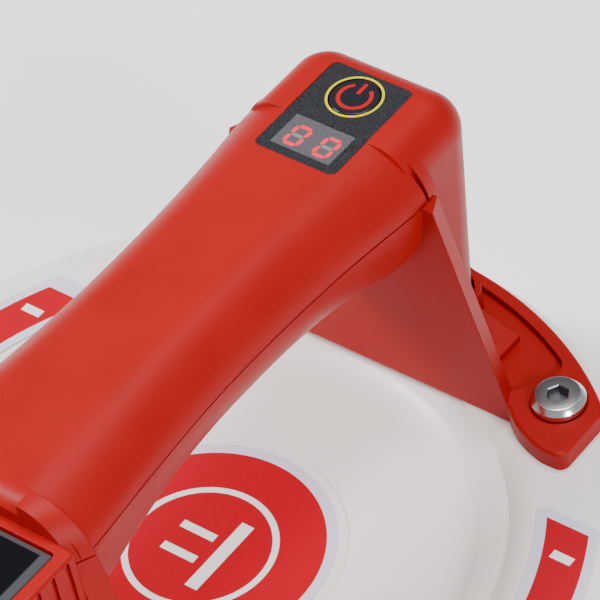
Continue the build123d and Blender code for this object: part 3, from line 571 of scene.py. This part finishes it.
class LIFTER_OT_screws(LifterPiece):
    """Foot screws: turned heads with a wide bevel and a hexagon socket"""
    bl_idname = "lifter.screws"
    bl_label = "Foot Screws"

    def build(self):
        start, end = low("foot_screws"), high("foot_screws")
        head = 6.3 * MM
        x, y = end.x - head, end.y - head
        dark = Shade("screw_steel", linear(150, 150, 152), 0.3, 1.0)
        across, along = dark.axes()[:2]
        out = ((abs(across) - x) * (abs(across) - x) + (abs(along) - y) * (abs(along) - y)).root()
        rings = dark.node("ShaderNodeTexNoise", {"noise_dimensions": "1D"}, {
            "W": out * 9000.0, "Detail": 2.0})
        # Painted light: on one steel, the flat top is painted a darker grey as painted shade and
        # the bevel a brighter grey as a painted highlight.
        painted_shade_top = dark.step(out, 5.0 * MM, 5.12 * MM, 1.0, 0.0)
        dark.put("Base Color", dark.mix(painted_shade_top, linear(225, 225, 226), linear(122, 122, 126)))
        dark.put("Roughness", dark.step(painted_shade_top, 0.0, 1.0, 0.16, 0.34) + rings * 0.06)
        dark.relief(rings, 0.006 * MM, edge=0.08 * MM)
        mesh = self.grow(x, y, start.z, end.z, head, dark.material)
        piece = new_piece("foot_screws_finished", mesh, dark.material, "root")
        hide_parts("foot_screws")

    def grow(self, x, y, bottom, top, head, material):
        """One lathed screw, set at four places by a node tree."""
        tree = Tree("screw_set")
        half_x = tree.number("Half spacing X", x)
        half_y = tree.number("Half spacing Y", y)
        doubled = [tree.add("ShaderNodeMath", {"operation": "MULTIPLY"}, {0: half, 1: 2.0})
                   for half in (half_x, half_y)]
        grid = tree.add("GeometryNodeMeshGrid", values={
            "Size X": doubled[0], "Size Y": doubled[1], "Vertices X": 2, "Vertices Y": 2})
        single = bpy.data.objects.new("screw_single", self.screw(bottom, top, head))
        bpy.context.scene.collection.objects.link(single)
        source = tree.add("GeometryNodeObjectInfo", {"transform_space": "ORIGINAL"},
                          {"Object": single}, output="Geometry")
        placed = tree.add("GeometryNodeInstanceOnPoints", values={
            "Points": grid, "Instance": source})
        tree.finish(placed, material)
        mesh = grown("foot_screws_finished", tree, {"Half spacing X": x, "Half spacing Y": y})
        bpy.data.objects.remove(single)
        return mesh

    def screw(self, bottom, top, head):
        """Shank, bevelled head and socket of one screw on the Z axis."""
        shank = 3.0 * MM
        flat = 5.1 * MM
        seat = top - 3.3 * MM
        depth = 2.4 * MM
        outline = [(shank * 0.9, bottom), (shank, bottom + 0.5 * MM), (shank, seat),
                   (head - 0.2 * MM, seat), (head, seat + 0.2 * MM), (head, top - 1.35 * MM)]
        outline += [(flat + 0.12 * MM, top - 0.06 * MM), (flat, top)]
        steps = 96
        work = bmesh.new()
        rings = []
        for r, z in outline:
            rings.append([work.verts.new((
                r * math.cos(2 * math.pi * i / steps), r * math.sin(2 * math.pi * i / steps), z))
                for i in range(steps)])
        across = 2.2 * MM
        for z, grow in ((top, 1.10), (top - 0.25 * MM, 1.0), (top - depth, 1.0)):
            ring = []
            for i in range(steps):
                angle = 2 * math.pi * i / steps
                sector = (angle + math.pi / 6) % (math.pi / 3) - math.pi / 6
                r = across * grow / math.cos(sector)
                ring.append(work.verts.new((r * math.cos(angle), r * math.sin(angle), z)))
            rings.append(ring)
        for one, two in zip(rings, rings[1:]):
            for i in range(steps):
                j = (i + 1) % steps
                work.faces.new((one[i], one[j], two[j], two[i]))
        work.faces.new(list(reversed(rings[0])))
        work.faces.new(rings[-1])
        bmesh.ops.recalc_face_normals(work, faces=work.faces)
        mesh = bpy.data.meshes.new("screw_single")
        work.to_mesh(mesh)
        work.free()
        soften(mesh, 28)
        return mesh


class LIFTER_OT_handle(LifterPiece):
    """Both moulded handle shells in their grained red plastic"""
    bl_idname = "lifter.handle"
    bl_label = "Handle Shells"

    def build(self):
        red = moulded("shell_plastic", hue("shell"), 0.42, mottle=0.07, depth=0.02 * MM,
                      Specular_IOR_Level=0.16)
        for node in ("handle_upper_shell", "handle_lower_shell"):
            ride_copy(node, 24, red)


class LIFTER_OT_labels(LifterPiece):
    """Printed films: a red field, a pale border and plain generic graphics"""
    bl_idname = "lifter.labels"
    bl_label = "Labels"

    def film(self, shade, field, border, marks, clear):
        """Lays field, border and marks over each other; each is a mask from 0 to 1."""
        weave = shade.noise(2600.0, 1.0)
        red = shade.mix(weave, scaled(hue("label"), 0.85), scaled(hue("label"), 1.12))
        pale = shade.mix(weave, scaled(hue("border"), 0.93), scaled(hue("border"), 1.05))
        backed = shade.mix(border, clear, pale)
        filled = shade.mix(field, backed, red)
        shade.put("Base Color", shade.mix(marks, filled, linear(244, 243, 244)))
        shade.relief(weave, 0.006 * MM)

    def build(self):
        sizes_now = sizes()
        shade = Shade("round_label", hue("label"), 0.4, Specular_IOR_Level=0.15)
        across, along = shade.axes()[:2]
        out = (across * across + along * along).root()
        soft = 0.12 * MM
        field = shade.step(out, sizes_now.label_field - soft, sizes_now.label_field, 1.0, 0.0)
        border = shade.step(out, sizes_now.label_border - soft, sizes_now.label_border, 1.0, 0.0)
        marks = self.pad_sign(shade, across, along, out)
        self.film(shade, field, border, marks, scaled(hue("plate"), 0.97))
        paint("centre_label", shade.material)
        shade = Shade("side_label", hue("label"), 0.4, Specular_IOR_Level=0.15)
        across, along = shade.axes()[:2]
        out = (across * across + along * along).root()
        inset = 2.4 * MM
        film_near, film_far = 75.2 * MM, 89.4 * MM
        near, far = film_near + inset, film_far - inset
        half = high("side_label_right").x - inset
        inside = (shade.step(out, near - soft, near) * shade.step(out, far, far + soft, 1.0, 0.0)
                  * shade.step(abs(across), half - soft, half, 1.0, 0.0))
        self.film(shade, inside, 1.0, self.tally(shade, across, along), hue("border"))
        for node in ("side_label_right", "side_label_left"):
            paint(node, shade.material)

    def pad_sign(self, shade, across, along, out):
        """A generic sign: a bar beside two shorter dashes, in a thin ring."""
        soft = 0.15 * MM
        ring = shade.step(abs(out - 17.0 * MM), 0.7 * MM, 0.7 * MM + soft, 1.0, 0.0)
        bar = (shade.step(abs(along + 5.5 * MM), 1.6 * MM, 1.6 * MM + soft, 1.0, 0.0)
               * shade.step(abs(across), 10.5 * MM, 10.5 * MM + soft, 1.0, 0.0))
        spread = abs(abs(across) - 3.6 * MM)
        shafts = (shade.step(spread, 1.0 * MM, 1.0 * MM + soft, 1.0, 0.0)
                  * shade.step(abs(along - 3.2 * MM), 4.6 * MM, 4.6 * MM + soft, 1.0, 0.0))
        return ring.most(bar).most(shafts)

    def tally(self, shade, across, along):
        """One short plain dash near each end of a side label."""
        soft = 0.1 * MM
        rows = abs(abs(across) - 33.5 * MM)
        lines = shade.step(rows, 1.1 * MM, 1.1 * MM + soft, 1.0, 0.0)
        reach = shade.step(abs(abs(along) - 75.0 * MM), 2.6 * MM, 2.6 * MM + soft, 1.0, 0.0)
        return lines * reach


class LIFTER_OT_panel(LifterPiece):
    """Control film, printed ring, power button with its sign, window and digits"""
    bl_idname = "lifter.panel"
    bl_label = "Control Panel"

    def build(self):
        film = Shade("panel_film", hue("panel"), 0.6, Specular_IOR_Level=0.2)
        grain = film.cells(3800.0)
        film.put("Base Color", film.mix(film.step(grain, 0.1, 0.7), scaled(hue("panel"), 2.6),
                                        scaled(hue("panel"), 0.45)))
        film.relief(grain, 0.03 * MM)
        paint("panel_overlay", film.material)
        self.ring()
        self.power()
        self.window()

    def ring(self):
        here = middle("power_button")
        top = high("panel_overlay").z
        made = sizes()
        steps = 96
        profile = [(made.ring_inner, top - 0.01 * MM), (made.ring_outer, top - 0.01 * MM),
                   (made.ring_outer, top + made.print_height),
                   (made.ring_inner, top + made.print_height)]
        ink = Shade("ring_ink", hue("ring"), 0.35, Specular_IOR_Level=0.15)
        ink.put("Base Color", ink.mix(ink.noise(2500.0), scaled(hue("ring"), 0.9),
                                      scaled(hue("ring"), 1.05)))
        mesh = lathe("button_ring", profile, steps, centre=(here.x, here.y))
        new_piece("button_ring", mesh, ink.material, "root")

    def power(self):
        cap = Shade("button_cap", linear(24, 26, 32), 0.25, Coat_Weight=0.1,
                    Coat_Roughness=0.12, Specular_IOR_Level=0.25)
        fine = cap.noise(1800.0)
        cap.put("Base Color", cap.mix(fine, linear(16, 17, 22), linear(30, 32, 40)))
        cap.relief(fine, 0.008 * MM, edge=0.25 * MM)
        paint("power_button", cap.material)
        here = middle("power_button")
        top = high("power_button").z
        made = sizes()
        centre = (here.x, here.y)
        outer = made.sign_radius
        inner = outer - made.sign_stroke
        gap = 34
        loops = [band(centre, inner, outer, gap, 360 - gap, 56)]
        half = made.sign_stroke / 2
        start, end = here.x + 0.9 * MM, here.x + 4.7 * MM
        loops.append(
            arc((end - half, here.y), half, -90, 90, 10)
            + arc((start + half, here.y), half, 90, 270, 10))
        ink = Shade("sign_ink", hue("sign"), 0.35, Specular_IOR_Level=0.15)
        ink.put("Base Color", ink.mix(ink.noise(2500.0), scaled(hue("sign"), 0.88),
                                      scaled(hue("sign"), 1.1)))
        mesh = raised("power_sign", loops, top - 0.01 * MM, top + made.print_height)
        new_piece("power_sign", mesh, ink.material, "power")

    def window(self):
        lens = Shade("smoked_lens", hue("lens"), 0.30, Coat_Weight=0.2)
        grain = lens.cells(3800.0)
        lens.put("Base Color", lens.mix(lens.step(grain, 0.1, 0.8), scaled(hue("lens"), 1.5),
                                        scaled(hue("lens"), 0.75)))
        lens.relief(grain, 0.015 * MM)
        paint("display_window", lens.material)
        start, end = low("display_window"), high("display_window")
        made = sizes()
        digits_x = 56.55 * MM
        digits_y = (3.55 * MM, -4.35 * MM)
        lit, unlit = [], []
        for centre_y in digits_y:
            lights, rests = self.digit(digits_x, centre_y)
            lit += lights
            unlit += rests
        glow = Shade("lit_segment", scaled(hue("digit"), 0.6), 0.4,
                     Emission_Strength=0.75)
        haze = glow.noise(2200.0)
        glow.put("Emission Color", glow.mix(haze, scaled(hue("digit"), 0.8), hue("digit")))
        mesh = raised("lit_segments", lit, end.z - 0.01 * MM, end.z + made.print_height)
        new_piece("lit_segments", mesh, glow.material, "root")
        pale = Shade("unlit_segment", linear(112, 111, 114), 0.5)
        pale.put("Base Color", pale.mix(pale.noise(2200.0), linear(104, 103, 106),
                                        linear(122, 121, 124)))
        mesh = raised("unlit_segments", unlit, end.z - 0.01 * MM, end.z + made.print_height)
        new_piece("unlit_segments", mesh, pale.material, "root")
        if start.x > 56 * MM or end.x < 57 * MM:
            raise RuntimeError("the digits no longer sit in the display window")

    def digit(self, x, y):
        """The outlines of one nought and of its unlit middle bar; its top points along +X."""
        made = sizes()
        tall, wide, stroke = made.digit_height / 2, made.digit_width / 2, made.segment
        slant = 0.08
        half = stroke / 2

        def lay(points):
            return [(x + up, y - right - slant * up) for right, up in points]

        def across(up):
            tip = wide - half - 0.12 * MM
            return lay([(-tip, up), (-tip + half, up + half), (tip - half, up + half),
                        (tip, up), (tip - half, up - half), (-tip + half, up - half)])

        def upright(right, bottom, top):
            return lay([(right, bottom), (right + half, bottom + half),
                        (right + half, top - half), (right, top),
                        (right - half, top - half), (right - half, bottom + half)])

        edge = wide - half
        reach = tall - half
        gap = 0.15 * MM
        lit = [across(reach), across(-reach)]
        for right in (-edge, edge):
            lit.append(upright(right, gap, reach - gap))
            lit.append(upright(right, -reach + gap, -gap))
        return lit, [across(0.0)]


class LIFTER_OT_release(LifterPiece):
    """Polished release button with a satin bevel that is also painted grey as a painted
    reflection
    """
    bl_idname = "lifter.release"
    bl_label = "Release Button"

    def build(self):
        top = high("release_button").z
        gloss = Shade("release_gloss", hue("inset"), 0.10, Specular_IOR_Level=0.2)
        up = gloss.axes()[2]
        worn = gloss.noise(90.0, 4.0)
        # Painted light: the bevel below the top is painted grey as a painted reflection, while
        # the flat top keeps the black.
        bevel = gloss.step(up, top - 0.25 * MM, top - 0.05 * MM, 1.0, 0.0)
        gloss.put("Base Color", gloss.mix(bevel, hue("inset"), linear(72, 74, 78)))
        gloss.put("Roughness", gloss.step(worn, 0.35, 0.65, 0.06, 0.10) + bevel * 0.3)
        gloss.relief(worn, 0.01 * MM, edge=0.25 * MM)
        paint("release_button", gloss.material)


class LIFTER_OT_inner_parts(LifterPiece):
    """Everything inside the shells and under the plate"""
    bl_idname = "lifter.inner_parts"
    bl_label = "Inner Parts"

    def build(self):
        steel = turned_metal("plain_steel", linear(190, 190, 192), 0.3)
        brass = turned_metal("turned_brass", linear(214, 176, 98), 0.28)
        black = moulded("part_plastic", linear(38, 38, 40), 0.45)
        grey = moulded("pump_plastic", linear(118, 120, 126), 0.5)
        pale = moulded("acetal", linear(224, 223, 218), 0.4)
        rubber = moulded("seal_rubber", linear(42, 42, 43), 0.75, grain=0.4 * MM)
        milky = moulded("silicone", linear(222, 220, 212), 0.5, grain=0.6 * MM,
                        Subsurface_Weight=0.1)
        finishes = {
            "carrier_screws": steel, "shell_screws": steel, "threaded_inserts": brass,
            "motor_shaft": steel, "pump_crank": brass, "pump_motor": steel,
            "battery_tabs": steel, "release_spring": steel, "release_stem": steel,
            "tact_switch": black, "vacuum_sensor": black, "cell_cradle": black,
            "charge_socket": black, "motor_bracket": black, "pump_head": grey,
            "pump_diaphragm": rubber, "valve_disc": rubber, "port_fitting": pale,
            "valve_body": pale, "vacuum_hose": milky,
            "control_board": self.board(), "charge_board": self.board(),
            "display_module": moulded("display_block", linear(120, 120, 124), 0.5),
            "battery_cells": self.sleeve(), "inlet_filter": self.mesh_filter(),
        }
        for node, material in finishes.items():
            paint(node, material)

    def board(self):
        """Green solder mask with paler tracks."""
        shade = Shade("solder_mask", linear(20, 92, 48), 0.3, Coat_Weight=0.3)
        tracks = shade.node("ShaderNodeTexWave", {"bands_direction": "X"}, {
            "Vector": shade.place(), "Scale": 160.0, "Distortion": 6.0, "Detail": 1.0})
        shade.put("Base Color", shade.mix(shade.step(tracks, 0.6, 0.7), linear(16, 78, 40),
                                          linear(40, 128, 70)))
        shade.relief(tracks, 0.02 * MM)
        return shade.material

    def sleeve(self):
        """Shrink sleeve of the cells, faintly wrinkled."""
        shade = Shade("cell_sleeve", linear(40, 104, 172), 0.25, Coat_Weight=0.4)
        wrinkle = shade.noise(220.0, 3.0)
        shade.put("Base Color", shade.mix(wrinkle, linear(34, 92, 158), linear(50, 118, 190)))
        shade.relief(wrinkle, 0.05 * MM)
        return shade.material

    def mesh_filter(self):
        """Woven filter mesh."""
        shade = Shade("filter_weave", linear(196, 196, 190), 0.6)
        across, along = shade.axes()[:2]
        pitch = 0.5 * MM
        threads = [shade.node("ShaderNodeMath", {"operation": "PINGPONG"}, {
            0: axis, 1: pitch / 2}) / (pitch / 2) for axis in (across, along)]
        holes = threads[0].least(threads[1])
        shade.put("Base Color", shade.mix(shade.step(holes, 0.35, 0.5), linear(200, 200, 194),
                                          linear(60, 60, 60)))
        shade.relief(holes, 0.1 * MM)
        return shade.material


class LIFTER_OT_stage(bpy.types.Operator):
    """Pale floor, soft studio light and the camera"""
    bl_idname = "lifter.stage"
    bl_label = "Stage"

    def execute(self, context):
        self.floor(context)
        self.light(context)
        self.camera(context)
        return {"FINISHED"}

    def floor(self, context):
        mesh = bpy.data.meshes.new("floor")
        half = 3.0  # metres
        mesh.from_pydata([(-half, -half, 0), (half, -half, 0), (half, half, 0), (-half, half, 0)],
                         [], [(0, 1, 2, 3)])
        plain = Shade("floor_paper", (0.96, 0.96, 0.96), 0.9)
        mesh.materials.append(plain.material)
        floor = bpy.data.objects.new("floor", mesh)
        context.scene.collection.objects.link(floor)

    def light(self, context):
        world = bpy.data.worlds.new("studio")
        world.use_nodes = True
        context.scene.world = world
        back = world.node_tree.nodes["Background"]
        back.inputs["Color"].default_value = (1, 1, 1, 1)
        back.inputs["Strength"].default_value = 0.42
        centre = Vector((0.0, 0.0, 0.06))
        for name, place, size, power in (
                ("key", (-0.45, 0.95, 0.95), 0.45, 26.0),
                ("side", (-0.30, -1.05, 0.70), 0.30, 10.0),
                ("over", (0.25, 0.0, 1.5), 0.7, 16.0)):
            lamp = bpy.data.lights.new(name, "AREA")
            lamp.shape = "DISK"
            lamp.size = size
            lamp.energy = power
            holder = bpy.data.objects.new(name, lamp)
            holder.location = place
            aim = centre - Vector(place)
            holder.rotation_euler = aim.to_track_quat("-Z", "Y").to_euler()
            context.scene.collection.objects.link(holder)

    def camera(self, context):
        """A long lens from above the near side, rolled slightly."""
        turn, rise, roll = -0.806, 0.77422, -0.17051
        distance = 0.91666
        target = Vector((0.053446, 0.008196, 0.0439))
        back = Vector((math.sin(turn) * math.cos(rise), -math.cos(turn) * math.cos(rise),
                       math.sin(rise)))
        right = (-back).cross(Vector((0, 0, 1))).normalized()
        up = right.cross(-back)
        rolled_right = math.cos(roll) * right + math.sin(roll) * up
        rolled_up = -math.sin(roll) * right + math.cos(roll) * up
        data = bpy.data.cameras.new("camera")
        data.lens = 244.62  # in millimetres, as is the sensor's width
        data.sensor_width = 36.0
        data.clip_start = 0.05
        holder = bpy.data.objects.new("camera", data)
        turned = Matrix((rolled_right, rolled_up, back)).transposed().to_4x4()
        turned.translation = target + back * distance
        holder.matrix_world = turned
        context.scene.collection.objects.link(holder)
        context.scene.camera = holder


class LIFTER_PT_sidebar(bpy.types.Panel):
    """Lists the lifter's sizes, colours and operators"""
    bl_idname = "LIFTER_PT_sidebar"
    bl_label = "Vacuum Lifter"
    bl_space_type = "VIEW_3D"
    bl_region_type = "UI"
    bl_category = "Lifter"

    def draw(self, context):
        for group in (context.scene.lifter_sizes, context.scene.lifter_colours):
            for name in group.bl_rna.properties.keys():
                if name not in ("rna_type", "name"):
                    self.layout.prop(group, name)
        for operator in OPERATORS:
            self.layout.operator(operator.bl_idname)


OPERATORS = (
    LIFTER_OT_plate, LIFTER_OT_seal, LIFTER_OT_screws, LIFTER_OT_handle, LIFTER_OT_labels,
    LIFTER_OT_panel, LIFTER_OT_release, LIFTER_OT_inner_parts, LIFTER_OT_stage,
)
GROUPS = (LifterColours, LifterSizes)


def register():
    for item in GROUPS + OPERATORS + (LIFTER_PT_sidebar,):
        bpy.utils.register_class(item)
    bpy.types.Scene.lifter_colours = bpy.props.PointerProperty(type=LifterColours)
    bpy.types.Scene.lifter_sizes = bpy.props.PointerProperty(type=LifterSizes)


def unregister():
    del bpy.types.Scene.lifter_sizes
    del bpy.types.Scene.lifter_colours
    for item in reversed(GROUPS + OPERATORS + (LIFTER_PT_sidebar,)):
        bpy.utils.unregister_class(item)


def main():
    """Builds every piece and the stage."""
    register()
    for operator in OPERATORS:
        group, name = operator.bl_idname.split(".")
        getattr(getattr(bpy.ops, group), name)()


if __name__ == "__main__":
    main()
